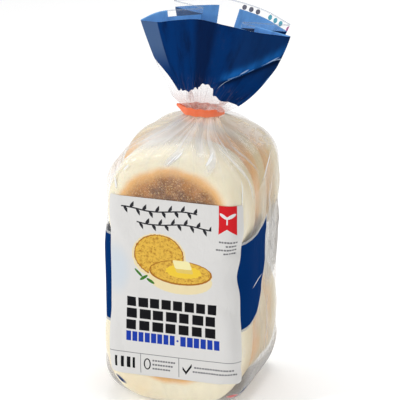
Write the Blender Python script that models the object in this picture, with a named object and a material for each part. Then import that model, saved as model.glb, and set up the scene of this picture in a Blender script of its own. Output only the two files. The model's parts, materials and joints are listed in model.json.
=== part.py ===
"""Bag of English muffins, standing on its base.

A gusseted film bag is packed with two rows of three muffins, which stand on edge with their griddled
faces to the front. The film is gathered in a flat tie above them, and its open end fans out to the right.
The sealed part of the bag is solid here, with its contents inside it. The fan above the tie is open, as the
loose end of a real bag is. Sizes are in millimetres and are scaled to metres when a mesh is made.
"""

import math

import bmesh
import bpy
from mathutils import Vector

MM = 0.001

# The muffins set the size of the packed body.
MUFFIN_WIDTH = 92.4
MUFFIN_HEIGHT = 84.0
MUFFIN_THICKNESS = 30.0
ROWS = 2
MUFFINS_DEEP = 3
FILM_SLACK = 1.0

BODY_HALF_WIDTH = MUFFIN_WIDTH / 2 + FILM_SLACK
BODY_HALF_DEPTH = MUFFINS_DEEP * MUFFIN_THICKNESS / 2 + FILM_SLACK
BODY_SQUARENESS = 6.0
ROW_SEAM_Z = MUFFIN_HEIGHT
WAIST = 0.7

# The muffins stand on their round edges, so the flat of the base is narrow, and the film curves up from it.
BASE_HALF_WIDTH = 15.0
BASE_HALF_DEPTH = 30.0
BASE_SQUARENESS = 2.5
FOOT_RISE = 26.0
FOOT_RINGS = 8

# The shoulders start beside the upper muffins. The width closes early, over their round tops, and the depth
# late, behind their upright faces.
SHOULDER_Z = (ROWS - 1) * MUFFIN_HEIGHT + 0.64 * MUFFIN_HEIGHT
NECK_Z = ROWS * MUFFIN_HEIGHT + 9.5
SHOULDER_RINGS = 13
WIDTH_FALL = 2.4
WIDTH_ROUND = 1.6
DEPTH_FALL = 6.8
DEPTH_ROUND = 0.95
CORNER_FALL = 5.0

# The neck is a flattened bundle of pleats, to the right of the middle.
NECK_X = 6.5
NECK_HALF_WIDTH = 12.0
NECK_HALF_DEPTH = 6.3
NECK_LENGTH = 7.0
NECK_SQUARENESS = 2.2

# The mouth of the fan, anticlockwise from its right tip as seen from above.
MOUTH = (
    (65.0, 1.0, 236.0),
    (43.0, 14.0, 242.0),
    (14.0, 18.0, 248.0),
    (-15.0, 14.0, 245.0),
    (-32.0, -2.0, 236.0),
    (-17.0, -11.0, 238.5),
    (10.0, -17.5, 243.5),
    (42.0, -16.0, 239.0),
)
FAN_RINGS = 12
FAN_WALL = 1.3
FAN_FLOOR = 0.36
POCKET_RINGS = 7
RIGHT_DROOP = Vector((7.0, 0.0, -6.0))
SIDE_SWELL = 2.5

# The tie is a flat band round the neck, with its ends pressed together in a short tail on the left.
TIE_HEIGHT = 5.3
TIE_THICKNESS = 0.8
TIE_GAP = 0.5
TAIL_LENGTH = 4.5
TAIL_HALF_THICKNESS = 0.6

AROUND = 56


def superellipse(angle, squareness):
    """A point of the unit superellipse: a circle at squareness 2, and nearer a square above it."""
    power = 2.0 / squareness
    cosine = math.cos(angle)
    sine = math.sin(angle)
    return (
        math.copysign(abs(cosine) ** power, cosine),
        math.copysign(abs(sine) ** power, sine),
    )


def level_ring(z, half_width, half_depth, squareness, middle_x=0.0):
    """A closed ring of points at one height."""
    ring = []
    for step in range(AROUND):
        across, back = superellipse(math.tau * step / AROUND, squareness)
        ring.append(Vector((middle_x + half_width * across, half_depth * back, z)))
    return ring


def blend(start, end, share):
    return start + (end - start) * share


def foot_rings():
    """From the flat base up its rounded edge to the full width."""
    rings = []
    for step in range(FOOT_RINGS):
        turn = math.pi / 2 * step / (FOOT_RINGS - 1)
        spread = math.sin(turn)
        rings.append(
            level_ring(
                FOOT_RISE * (1 - math.cos(turn)),
                blend(BASE_HALF_WIDTH, BODY_HALF_WIDTH, spread),
                blend(BASE_HALF_DEPTH, BODY_HALF_DEPTH, spread),
                blend(BASE_SQUARENESS, BODY_SQUARENESS, spread),
            )
        )
    return rings


def side_rings():
    """The upright sides, a little narrower where the film spans the crease between the two rows."""
    rings = []
    for share in (0.4, 0.7, 1.0, 1.3, 1.6):
        nearness = 1 - min(1.0, abs(share - 1.0) / 0.6)
        waist = WAIST * math.sin(math.pi / 2 * nearness)
        rings.append(
            level_ring(
                ROW_SEAM_Z * share,
                BODY_HALF_WIDTH - waist,
                BODY_HALF_DEPTH - waist,
                BODY_SQUARENESS,
            )
        )
    return rings


def shoulder_rings():
    """From the upright sides in to the neck, with the corners rounding off on the way."""
    rings = []
    for step in range(1, SHOULDER_RINGS + 1):
        share = math.sin(math.pi / 2 * step / SHOULDER_RINGS)
        width = (1 - share**WIDTH_FALL) ** WIDTH_ROUND
        depth = (1 - share**DEPTH_FALL) ** DEPTH_ROUND
        rings.append(
            level_ring(
                blend(SHOULDER_Z, NECK_Z, share),
                blend(NECK_HALF_WIDTH, BODY_HALF_WIDTH, width),
                blend(NECK_HALF_DEPTH, BODY_HALF_DEPTH, depth),
                blend(NECK_SQUARENESS, BODY_SQUARENESS, depth**CORNER_FALL),
                NECK_X * (1 - width) ** 2,
            )
        )
    return rings


def neck_ring(z):
    return level_ring(z, NECK_HALF_WIDTH, NECK_HALF_DEPTH, NECK_SQUARENESS, NECK_X)


def mouth_ring():
    """A smooth closed curve through the points of the mouth."""
    count = len(MOUTH)
    per_span = AROUND // count
    ring = []
    for span in range(count):
        before, start, end, after = (
            Vector(MOUTH[(span + offset) % count]) for offset in (-1, 0, 1, 2)
        )
        for step in range(per_span):
            t = step / per_span
            ring.append(
                start
                + (end - before) * (t / 2)
                + (before * 2 - start * 5 + end * 4 - after) * (t * t / 2)
                + (start * 3 - before - end * 3 + after) * (t**3 / 2)
            )
    return ring


def fan_ring(share):
    """A ring of the fan between the neck, at share 0, and the mouth, at share 1."""
    ring = []
    bow = 4 * share * (1 - share)
    for step, (low, high) in enumerate(zip(neck_ring(NECK_Z + NECK_LENGTH), mouth_ring())):
        angle = math.tau * step / AROUND
        outward = Vector((math.cos(angle), math.sin(angle), 0.0))
        droop = RIGHT_DROOP * max(0.0, math.cos(angle)) ** 2
        ring.append(low.lerp(high, share) + (droop + outward * SIDE_SWELL) * bow)
    return ring


def inside_of(ring):
    """The ring moved in by the fan's wall, towards its middle line."""
    middle = sum(ring, Vector()) / len(ring)
    half_width = max(abs(point.x - middle.x) for point in ring)
    half_depth = max(abs(point.y - middle.y) for point in ring)
    inner = []
    for point in ring:
        away = point - middle
        inner.append(
            Vector(
                (
                    middle.x + away.x * (1 - 2 * FAN_WALL / half_width),
                    middle.y + away.y * (1 - FAN_WALL / half_depth),
                    point.z,
                )
            )
        )
    return inner


def bag_rings():
    """Every ring of the bag: up its outside to the mouth, then down the inside of the fan."""
    rings = foot_rings() + side_rings() + shoulder_rings()
    rings += [fan_ring(step / FAN_RINGS) for step in range(FAN_RINGS + 1)]
    for step in range(POCKET_RINGS + 1):
        share = blend(1.0, FAN_FLOOR, step / POCKET_RINGS)
        rings.append(inside_of(fan_ring(share)))
    return rings


def tie_rings():
    """The tie's section, round from its outer lower edge, with the tail drawn out at the left."""
    tail_angle = math.radians(4.0)
    turns = AROUND - 1
    inner = []
    outer = []
    for step in range(turns):
        angle = -math.pi + tail_angle + (math.tau - 2 * tail_angle) * step / (turns - 1)
        across, back = superellipse(angle, NECK_SQUARENESS)
        for ring, offset in ((inner, TIE_GAP), (outer, TIE_GAP + TIE_THICKNESS)):
            ring.append(
                (
                    NECK_X + (NECK_HALF_WIDTH + offset) * across,
                    (NECK_HALF_DEPTH + offset) * back,
                )
            )
    inner.append((NECK_X - NECK_HALF_WIDTH - TIE_GAP, 0.0))
    inner.append((NECK_X - NECK_HALF_WIDTH - TIE_GAP, -0.2))
    tail_x = NECK_X - NECK_HALF_WIDTH - TAIL_LENGTH
    outer.append((tail_x, TAIL_HALF_THICKNESS))
    outer.append((tail_x, -TAIL_HALF_THICKNESS))
    low = NECK_Z + (NECK_LENGTH - TIE_HEIGHT) / 2
    high = low + TIE_HEIGHT
    sections = ((outer, low), (outer, high), (inner, high), (inner, low))
    return [[Vector((x, y, z)) for x, y in ring] for ring, z in sections]


def lofted(name, rings, material, closed=False):
    """One object whose skin runs from ring to ring. It ends in flat caps, or joins up when closed."""
    shape = bmesh.new()
    loops = [[shape.verts.new(point * MM) for point in ring] for ring in rings]
    pairs = list(zip(loops, loops[1:]))
    if closed:
        pairs.append((loops[-1], loops[0]))
    for low, high in pairs:
        for index, corner in enumerate(low):
            after = (index + 1) % len(low)
            shape.faces.new((corner, low[after], high[after], high[index]))
    if not closed:
        for loop, ring in ((loops[0], rings[0]), (loops[-1], rings[-1])):
            middle = shape.verts.new(sum(ring, Vector()) / len(ring) * MM)
            for index, corner in enumerate(loop):
                shape.faces.new((corner, loop[(index + 1) % len(loop)], middle))
    bmesh.ops.recalc_face_normals(shape, faces=shape.faces)
    mesh = bpy.data.meshes.new(name)
    shape.to_mesh(mesh)
    shape.free()
    mesh.shade_smooth()
    mesh.set_sharp_from_angle(angle=math.radians(40))
    mesh.materials.append(material)
    made = bpy.data.objects.new(name, mesh)
    bpy.context.scene.collection.objects.link(made)
    return made


def surface(name, colour, roughness, alpha=1.0):
    material = bpy.data.materials.new(name)
    material.use_nodes = True
    shader = material.node_tree.nodes["Principled BSDF"]
    shader.inputs["Base Color"].default_value = (*colour, 1.0)
    shader.inputs["Roughness"].default_value = roughness
    shader.inputs["Metallic"].default_value = 0.0
    shader.inputs["Alpha"].default_value = alpha
    return material


def clear_scene():
    for thing in list(bpy.data.objects):
        bpy.data.objects.remove(thing)


def build():
    clear_scene()
    film = surface("film", (0.80, 0.74, 0.60), 0.25)
    band = surface("tie_band", (0.93, 0.24, 0.08), 0.45)
    lofted("bag", bag_rings(), film)
    lofted("tie", tie_rings(), band, closed=True)


build()
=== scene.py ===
"""Looks for a bag of English muffins: six muffins in a clear printed film bag, gathered in a flat band tie.

Run as a script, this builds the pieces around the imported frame. Lengths in the film's own functions are in
millimetres, and meshes are in metres.
"""

import json
import math

import bmesh
import bpy
import numpy as np
from bpy.props import FloatProperty, FloatVectorProperty, PointerProperty
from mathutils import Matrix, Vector
from mathutils.bvhtree import BVHTree

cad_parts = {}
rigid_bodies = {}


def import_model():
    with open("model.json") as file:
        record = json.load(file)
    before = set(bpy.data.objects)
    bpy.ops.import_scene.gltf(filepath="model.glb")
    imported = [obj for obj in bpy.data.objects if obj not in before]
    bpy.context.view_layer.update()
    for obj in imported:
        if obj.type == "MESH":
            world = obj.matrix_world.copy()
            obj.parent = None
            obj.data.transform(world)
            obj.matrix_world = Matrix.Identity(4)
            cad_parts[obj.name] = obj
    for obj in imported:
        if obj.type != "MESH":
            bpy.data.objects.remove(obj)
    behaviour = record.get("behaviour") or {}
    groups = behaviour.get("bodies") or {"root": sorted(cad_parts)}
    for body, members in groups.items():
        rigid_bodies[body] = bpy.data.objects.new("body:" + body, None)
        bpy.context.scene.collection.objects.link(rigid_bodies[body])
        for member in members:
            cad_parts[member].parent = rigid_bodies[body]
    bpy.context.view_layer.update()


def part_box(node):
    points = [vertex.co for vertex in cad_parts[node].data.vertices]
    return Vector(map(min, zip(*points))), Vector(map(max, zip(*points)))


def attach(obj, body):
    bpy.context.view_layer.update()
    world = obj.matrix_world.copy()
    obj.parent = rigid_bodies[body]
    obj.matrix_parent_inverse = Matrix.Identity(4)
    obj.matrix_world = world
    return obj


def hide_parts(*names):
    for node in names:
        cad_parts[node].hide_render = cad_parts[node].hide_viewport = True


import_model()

bl_info = {
    "name": "Bag of English Muffins",
    "version": (1, 0, 0),
    "blender": (4, 5, 0),
    "location": "View3D > Sidebar > Muffins",
    "description": "Adds six English muffins in a clear printed bag with a band tie",
    "category": "Add Mesh",
}

MM = 0.001
BODY = "root"

BAG_LOW, BAG_HIGH = (Vector(corner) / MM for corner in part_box("bag"))
TIE_LOW, TIE_HIGH = (Vector(corner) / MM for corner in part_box("tie"))

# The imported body: its half width and half depth, and how square its section is.
HALF_WIDTH = -BAG_LOW.x
HALF_DEPTH = BAG_HIGH.y
SQUARENESS = 6.0

# The muffins stand on edge in two rows of three, one film slack inside the body.
SLACK = 1.0
MUFFIN_WIDTH = 2 * (HALF_WIDTH - SLACK)
STACK_DEPTH = 2 * (HALF_DEPTH - SLACK)
MUFFIN_SHARES = (0.43, 0.30, 0.27)
MUFFIN_HEIGHT = 84.0

# The long fold of the fan, as a place and a turn on the flat film.
FOLD_START = (13.0, 25.0)
FOLD_TURN = math.radians(40.0)

# Heights that the film's shape turns on.
FOOT_TOP = 26.0
SHOULDER = 137.8
NECK = TIE_LOW.z - 0.85
NECK_X = 6.5
NECK_HALF_WIDTH = 12.0
NECK_HALF_DEPTH = 6.3
TIE_MIDDLE = (TIE_LOW.z + TIE_HIGH.z) / 2


# ---------------------------------------------------------------- settings


class MuffinSettings(bpy.types.PropertyGroup):
    """Sizes and colours of the muffins."""

    size_spread: FloatProperty(
        name="Size spread",
        description="How far a muffin's width and height may differ from the usual",
        default=0.012,
        min=0.0,
        max=0.1,
        subtype="FACTOR",
    )
    rim_rounding: FloatProperty(
        name="Rim rounding",
        description="Radius of the soft edge between a griddled face and the side",
        default=0.0098,
        unit="LENGTH",
    )
    dough: FloatVectorProperty(
        name="Dough",
        description="Pale side of a muffin",
        default=(0.90, 0.81, 0.595),
        subtype="COLOR",
        min=0.0,
        max=1.0,
    )
    gold: FloatVectorProperty(
        name="Gold",
        description="Edge of the griddled patch",
        default=(0.87, 0.48, 0.15),
        subtype="COLOR",
        min=0.0,
        max=1.0,
    )
    toast: FloatVectorProperty(
        name="Toast",
        description="Griddled patch",
        default=(0.52, 0.225, 0.068),
        subtype="COLOR",
        min=0.0,
        max=1.0,
    )
    dark_toast: FloatVectorProperty(
        name="Dark toast",
        description="Darkest parts of the griddled patch",
        default=(0.23, 0.11, 0.052),
        subtype="COLOR",
        min=0.0,
        max=1.0,
    )


class FilmSettings(bpy.types.PropertyGroup):
    """Sizes of the film, and the colours of its print."""

    thickness: FloatProperty(
        name="Thickness",
        description="Thickness of the modelled film",
        default=0.00012,
        unit="LENGTH",
    )
    navy: FloatVectorProperty(
        name="Navy",
        description="Print on the fan and beside the label",
        default=(0.002, 0.031, 0.145),
        subtype="COLOR",
        min=0.0,
        max=1.0,
    )
    paper: FloatVectorProperty(
        name="Label white",
        description="Ground of the label",
        default=(0.74, 0.73, 0.715),
        subtype="COLOR",
        min=0.0,
        max=1.0,
    )


class TieSettings(bpy.types.PropertyGroup):
    """The band round the neck."""

    thickness: FloatProperty(
        name="Thickness",
        description="Thickness of the band",
        default=0.0007,
        unit="LENGTH",
    )
    colour: FloatVectorProperty(
        name="Colour",
        description="Colour of the band",
        default=(1.0, 0.175, 0.048),
        subtype="COLOR",
        min=0.0,
        max=1.0,
    )


class StageSettings(bpy.types.PropertyGroup):
    """The floor, the lights and the camera."""

    distance: FloatProperty(
        name="Camera distance",
        description="From the camera to the middle of the pack",
        default=2.0,
        unit="LENGTH",
    )
    azimuth: FloatProperty(
        name="Camera azimuth",
        description="Angle of the camera to the right of the front",
        default=math.radians(17.5),
        subtype="ANGLE",
    )
    elevation: FloatProperty(
        name="Camera elevation",
        description="Angle of the camera above the level",
        default=math.radians(19.6),
        subtype="ANGLE",
    )


# ---------------------------------------------------------------- shader expressions


class Wire:
    """A value in a shader, which operators join into Math nodes."""

    def __init__(self, tree, socket=None):
        self.tree = tree
        self.socket = socket

    def node(self, kind, values=None, settings=None, output=0):
        """Adds a node of one kind, sets it up, feeds its sockets, and gives the wire from one output."""
        made = self.tree.nodes.new(kind)
        for key, setting in (settings or {}).items():
            if key == "stops":
                stops = made.color_ramp.elements
                while len(stops) < len(setting):
                    stops.new(0.5)
                for stop, (place, colour) in zip(stops, setting):
                    stop.position = place
                    stop.color = (*colour, 1.0)
            else:
                setattr(made, key, setting)
        for key, value in (values or {}).items():
            if isinstance(value, Wire):
                self.tree.links.new(value.socket, made.inputs[key])
            else:
                made.inputs[key].default_value = value
        return Wire(self.tree, made.outputs[output])

    def math(self, operation, *others, clamp=False):
        values = dict(enumerate((self, *others)))
        return self.node("ShaderNodeMath", values, {"operation": operation, "use_clamp": clamp})

    def __add__(self, other):
        return self.math("ADD", other)

    __radd__ = __add__

    def __mul__(self, other):
        return self.math("MULTIPLY", other)

    __rmul__ = __mul__

    def __sub__(self, other):
        return self.math("SUBTRACT", other)

    def __rsub__(self, other):
        return (self * -1.0) + other

    def __truediv__(self, other):
        return self.math("DIVIDE", other)

    def __pow__(self, other):
        return self.math("POWER", other)

    def __abs__(self):
        return self.math("ABSOLUTE")

    def __lt__(self, other):
        return self.math("LESS_THAN", other)

    def __gt__(self, other):
        return self.math("GREATER_THAN", other)

    def least(self, other):
        return self.math("MINIMUM", other)

    def most(self, other):
        return self.math("MAXIMUM", other)

    def ramp(self, low, high, at_low=0.0, at_high=1.0):
        """A smooth step from at_low to at_high as this value goes from low to high."""
        values = {"Value": self, "From Min": low, "From Max": high, "To Min": at_low, "To Max": at_high}
        return self.node("ShaderNodeMapRange", values, {"interpolation_type": "SMOOTHSTEP"})

    def noise(self, scale, detail=2.0, roughness=0.5, stretch=(1.0, 1.0, 1.0), turn=0.0, output=0):
        """Noise over this vector, in features for each unit of it."""
        place = self.node(
            "ShaderNodeMapping",
            {"Vector": self, "Scale": stretch, "Rotation": (0.0, 0.0, turn)},
        )
        values = {"Vector": place, "Scale": scale, "Detail": detail, "Roughness": roughness}
        return self.node("ShaderNodeTexNoise", values, output=output)


def paint(tree, base, colour, mask):
    """A colour mixed over a base by a mask. Either colour may be a wire or three numbers."""
    made = tree.nodes.new("ShaderNodeMix")
    made.data_type = "RGBA"
    sockets = {"Factor": made.inputs[0], "A": made.inputs[6], "B": made.inputs[7]}
    for name, value in (("Factor", mask), ("A", base), ("B", colour)):
        if isinstance(value, Wire):
            tree.links.new(value.socket, sockets[name])
        elif name == "Factor":
            sockets[name].default_value = value
        else:
            sockets[name].default_value = (*value, 1.0)
    return Wire(tree, made.outputs[2])


def new_material(name):
    """An empty material, and the wire that its nodes are added from."""
    material = bpy.data.materials.new(name)
    material.use_nodes = True
    material.node_tree.nodes.clear()
    return material, Wire(material.node_tree)


def show(wire):
    """Sends a shader to the material's output."""
    made = wire.tree.nodes.new("ShaderNodeOutputMaterial")
    wire.tree.links.new(wire.socket, made.inputs["Surface"])


# ---------------------------------------------------------------- meshes


def only(thing):
    """Selects one object and makes it active, with all else left unselected."""
    for other in bpy.context.view_layer.objects:
        other.select_set(False)
    thing.select_set(True)
    bpy.context.view_layer.objects.active = thing


def settle(thing):
    """Puts the object's place into its mesh, so that the object sits at the origin."""
    only(thing)
    bpy.ops.object.transform_apply(location=True, rotation=True, scale=True)


def modify(thing, kind, **settings):
    """Adds a modifier and applies it."""
    made = thing.modifiers.new(kind.lower(), kind)
    for key, value in settings.items():
        setattr(made, key, value)
    only(thing)
    bpy.ops.object.modifier_apply(modifier=made.name)


def choose(test, kind="VERT"):
    """In edit mode, selects the parts that pass a test and nothing else."""
    mesh = bpy.context.object.data
    shape = bmesh.from_edit_mesh(mesh)
    for part in [*shape.verts, *shape.edges, *shape.faces]:
        part.select = False
    parts = {"VERT": shape.verts, "EDGE": shape.edges, "FACE": shape.faces}[kind]
    bpy.ops.mesh.select_mode(type=kind)
    for part in parts:
        if test(part):
            part.select_set(True)
    shape.select_flush_mode()
    bmesh.update_edit_mesh(mesh)


# ---------------------------------------------------------------- muffins


def muffin_places():
    """Each muffin's name, middle and thickness, front to back in each row, in millimetres."""
    places = []
    for row in range(2):
        front = -STACK_DEPTH / 2
        for deep, share in enumerate(MUFFIN_SHARES):
            thickness = STACK_DEPTH * share
            name = f"muffin_{('lower', 'upper')[row]}_{deep + 1}"
            aside = ((0.0, 0.0, 0.0), (1.9, -0.7, 0.9))[row][deep]
            middle = Vector((aside, front + thickness / 2, MUFFIN_HEIGHT * (row + 0.5) + 0.3))
            places.append((name, middle, thickness, row, deep))
            front += thickness
    return places


def squash(cake, middle, squareness):
    """Presses a round outline towards a square one, as packed muffins press on one another."""
    for vertex in cake.data.vertices:
        x = vertex.co.x - middle.x * MM
        z = vertex.co.z - middle.z * MM
        reach = math.hypot(x, z)
        if reach > 0.0:
            cosine, sine = abs(x) / reach, abs(z) / reach
            grow = (cosine**squareness + sine**squareness) ** (-1 / squareness)
            vertex.co.x = middle.x * MM + x * grow
            vertex.co.z = middle.z * MM + z * grow


def shape_muffin(name, middle, size, squareness, rounding):
    """A round cake on edge: rounded rims, sides pressed towards a square, and a soft uneven skin."""
    width, thickness, height = size
    for other in bpy.context.view_layer.objects:
        other.select_set(False)
    bpy.ops.mesh.primitive_cylinder_add(
        vertices=64,
        radius=width / 2 * MM,
        depth=thickness * MM,
        end_fill_type="NGON",
        location=middle * MM,
        rotation=(math.pi / 2, 0.0, 0.0),
    )
    cake = bpy.context.object
    cake.name = name
    cake.data.name = name
    bpy.ops.object.mode_set(mode="EDIT")
    choose(lambda edge: any(len(face.verts) > 4 for face in edge.link_faces), "EDGE")
    bpy.ops.mesh.bevel(offset=rounding, segments=8, profile=0.5, affect="EDGES")
    choose(lambda face: len(face.verts) > 4, "FACE")
    for step in range(4):
        bpy.ops.mesh.inset(thickness=width / 2 * MM * 0.13, use_individual=True)
    bpy.ops.object.mode_set(mode="OBJECT")
    bpy.ops.transform.resize(value=(1.0, 1.0, height / width), center_override=middle * MM)
    settle(cake)
    squash(cake, middle, squareness)
    modify(cake, "REMESH", mode="VOXEL", voxel_size=0.95 * MM)
    for size, strength in ((30.0, 2.2), (9.0, 0.6)):
        lumps = bpy.data.textures.new(f"{name}_{size:.0f}", "CLOUDS")
        lumps.noise_scale = size * MM
        lumps.noise_depth = 1
        modify(
            cake,
            "DISPLACE",
            texture=lumps,
            texture_coords="LOCAL",
            strength=strength * MM,
            mid_level=0.55,
        )
        bpy.data.textures.remove(lumps)
    modify(cake, "SMOOTH", factor=0.5, iterations=4)
    cake.data.shade_smooth()
    return cake


def bread_material(name, middle, size, patches, settings, seed):
    """Floury pale sides, and on both faces a griddled patch with a golden edge and specks of meal.

    Each face's patch is given as its width and height as shares of the muffin's, its strength, and how far
    it reaches round the rim of a face that is pressed on another.
    """
    material, tree = new_material(name)
    place = tree.node("ShaderNodeTexCoord", output=3)
    local = tree.node(
        "ShaderNodeMapping",
        {"Vector": place, "Location": tuple(-middle * MM)},
    )
    x, y, z = (local.node("ShaderNodeSeparateXYZ", {"Vector": local}, output=i) for i in range(3))
    shift = local.node(
        "ShaderNodeMapping", {"Vector": local, "Location": (seed * 0.37, seed * 0.53, seed * 0.29)}
    )
    edge_wave = shift.noise(38.0, 3.0, 0.55)
    broad = shift.noise(22.0, 2.0, 0.5)
    blotch = shift.noise(90.0, 4.0, 0.65)
    fine = shift.noise(900.0, 3.0, 0.6)
    width, thickness, height = (side / 2 * MM for side in size)
    rear = y > 0.0
    wide, tall, strength, wrap = (rear * (back - front) + front for front, back in zip(*patches))
    pressed = (y / thickness).ramp(-0.9, 0.9, *(float(patch[0] > 0.9) for patch in patches))
    across = x / width / wide
    along = z / height / tall
    radius = (across * across + along * along) ** 0.5
    radius = radius + (edge_wave - 0.5) * 0.22 + (broad - 0.5) * 0.10
    # outer faces show a patch that stops short of the rim, and pressed faces are toasted over it in places
    inner = wide > 0.9
    outer_depth = abs(y).ramp(thickness * 0.50, thickness * 0.80)
    reach = abs(y) + (edge_wave - 0.5) * 0.007 + (broad - 0.5) * 0.006
    start = 1.0 - wrap / thickness
    inner_depth = (reach / thickness).ramp(start, start + 0.0052 / thickness)
    depth = outer_depth + (inner_depth - outer_depth) * inner
    core = (reach / thickness).ramp(start + 0.30, start + 0.75) * inner + (1.0 - inner)
    patchy = shift.noise(26.0, 3.0, 0.6).ramp(0.37, 0.53, 0.35) * inner + (1.0 - inner)
    radius = radius - inner * 0.05
    gold_mask = (radius - inner * 0.13).ramp(1.12, 0.95) * depth * patchy * strength
    toast_mask = radius.ramp(1.01, 0.74) * depth * core * strength
    toast_mask = toast_mask * (patchy * 0.8 + 0.2) * (1.0 - inner * 0.25)
    # painted shade: the dark toast grows towards each patch's right-hand side, away from the key light
    dark_mask = (1.0 - radius.ramp(0.35, 0.95)) * 0.9 + across * 0.4
    dark_mask = (dark_mask + (blotch - 0.495) * 3.4 + (broad - 0.5) * 1.4).math("ADD", 0.0, clamp=True)
    dark_mask = dark_mask * toast_mask * radius.ramp(0.98, 0.80)
    flour = shift.noise(140.0, 3.0, 0.6)
    dough = tuple(settings.dough)
    gold = tuple(settings.gold)
    toast = tuple(settings.toast)
    base = paint(tree.tree, dough, tuple(c * f for c, f in zip(dough, (1.06, 1.10, 1.18))), flour)
    # painted shade: the sides are darkened and yellowed towards the muffins that they are pressed against
    pressed = pressed * (abs(x) / width).ramp(0.55, 0.98, 0.12, 0.95)
    base = paint(tree.tree, base, tuple(c * f for c, f in zip(dough, (0.76, 0.66, 0.48))), pressed)
    tan = shift.noise(16.0, 2.0, 0.5).ramp(0.52, 0.75) * 0.3
    base = paint(tree.tree, base, tuple(c * f for c, f in zip(gold, (1.08, 1.32, 1.75))), tan)
    colour = paint(tree.tree, base, gold, gold_mask * 0.9)
    colour = paint(tree.tree, colour, toast, toast_mask * 0.9)
    colour = paint(tree.tree, colour, tuple(settings.dark_toast), dark_mask)
    grain = fine.ramp(0.35, 0.7)
    colour = paint(tree.tree, colour, tuple(c * 0.5 for c in toast), grain * toast_mask * 0.4)
    cells = shift.node("ShaderNodeTexVoronoi", {"Vector": shift, "Scale": 680.0}, output=0)
    meal = cells.ramp(0.40, 0.20) * (blotch.ramp(0.38, 0.60) * 0.4 + 0.6) * (1.0 - inner)
    colour = paint(tree.tree, colour, (0.90, 0.62, 0.29), meal * toast_mask * 0.6)
    pores = shift.node("ShaderNodeTexVoronoi", {"Vector": shift, "Scale": 260.0}, output=0)
    wrinkle = shift.noise(60.0, 2.0, 0.5, stretch=(0.6, 1.0, 0.6))
    relief = blotch * 0.5 + fine * 0.25 + wrinkle * 0.8 + meal * toast_mask * 0.5
    relief = relief + pores.ramp(0.0, 0.35) * toast_mask * 0.30
    normal = tree.node("ShaderNodeBump", {"Strength": 0.55, "Distance": 0.0011, "Height": relief})
    values = {
        "Base Color": colour,
        "Roughness": 0.78,
        "Normal": normal,
        "Subsurface Weight": 0.10,
        "Subsurface Radius": (0.004, 0.0025, 0.0012),
        "Subsurface Scale": 0.6,
        "Specular IOR Level": 0.2,
    }
    show(tree.node("ShaderNodeBsdfPrincipled", values))
    return material


class MUFFINS_OT_add_muffins(bpy.types.Operator):
    """Add the six muffins, in two rows of three"""

    bl_idname = "muffins.add_muffins"
    bl_label = "Muffins"

    def execute(self, context):
        settings = context.scene.muffin_settings
        draws = np.random.default_rng(11)
        for seed, (name, middle, thickness, row, deep) in enumerate(muffin_places(), 1):
            wide, tall = 1.0 + draws.uniform(-1, 0.4, 2) * settings.size_spread
            spare = ((2.4, 2.4, 2.4), (2.8, 0.9, 1.8))[row][deep]
            size = (MUFFIN_WIDTH * wide - spare, thickness + 0.3, MUFFIN_HEIGHT * tall)
            rounding = min(settings.rim_rounding, size[1] / 2 * MM - 0.001)
            squareness = ((3.0, 3.0, 3.0), (2.34, 2.9, 2.7))[row][deep]
            cake = shape_muffin(name, middle, size, squareness, rounding)
            shown = ((0.74, 0.60, 1.0, 0.0), (0.79, 0.70, 1.0, 0.0))[row]
            patches = (
                (shown, (0.985, 0.975, 1.0, 0.0088), (0.985, 0.975, 0.55, 0.0085))[deep],
                ((0.985, 0.975, 1.0, 0.0100), (0.985, 0.975, 0.8, 0.0110), shown)[deep],
            )
            cake.data.materials.clear()
            cake.data.materials.append(bread_material(name, middle, size, patches, settings, seed))
            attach(cake, BODY)
        return {"FINISHED"}


# ---------------------------------------------------------------- the film's shape


def superellipse_ring(half_width, half_depth, squareness, middle_x, columns):
    """A ring of one height, with its points spread evenly along it from the middle of the front."""
    angle = np.linspace(-np.pi / 2, 1.5 * np.pi, 721)
    cosine, sine = np.cos(angle), np.sin(angle)
    power = 2.0 / squareness
    x = half_width * np.sign(cosine) * np.abs(cosine) ** power
    y = half_depth * np.sign(sine) * np.abs(sine) ** power
    run = np.concatenate([[0.0], np.cumsum(np.hypot(np.diff(x), np.diff(y)))])
    at = np.arange(columns) / columns * run[-1]
    return np.stack([np.interp(at, run, x) + middle_x, np.interp(at, run, y)], -1), run[-1]


def body_section(height):
    """Half width, half depth, squareness and middle of the film at one height of the body."""
    if height < FOOT_TOP:
        turn = np.arccos(np.clip(1 - height / FOOT_TOP, -1, 1))
        out = np.sin(turn)
        return (
            26.0 + (HALF_WIDTH - 26.0) * out**0.85,
            31.0 + (HALF_DEPTH - 31.0) * out**0.9,
            2.8 + (SQUARENESS - 2.8) * out**0.7,
            0.0,
        )
    if height < SHOULDER:
        waist = 0.7 * max(0.0, 1 - abs(height - MUFFIN_HEIGHT) / 45.0)
        narrow = min(1.0, max(0.0, 1.4 - height / 60.0), (height - FOOT_TOP) / 10.0)
        return HALF_WIDTH - waist - narrow, HALF_DEPTH - waist, SQUARENESS, 0.0
    share = min(1.0, (height - SHOULDER) / (NECK - SHOULDER))
    width = (1 - share**2.4) ** 1.6
    depth = (1 - share**6.8) ** 0.95
    return (
        NECK_HALF_WIDTH + (HALF_WIDTH - NECK_HALF_WIDTH) * width,
        NECK_HALF_DEPTH + (HALF_DEPTH - NECK_HALF_DEPTH) * depth,
        2.2 + (SQUARENESS - 2.2) * depth**5,
        NECK_X * (1 - width) ** 2,
    )


GIRTH = superellipse_ring(HALF_WIDTH, HALF_DEPTH, SQUARENESS, 0.0, 8)[1]


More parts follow.
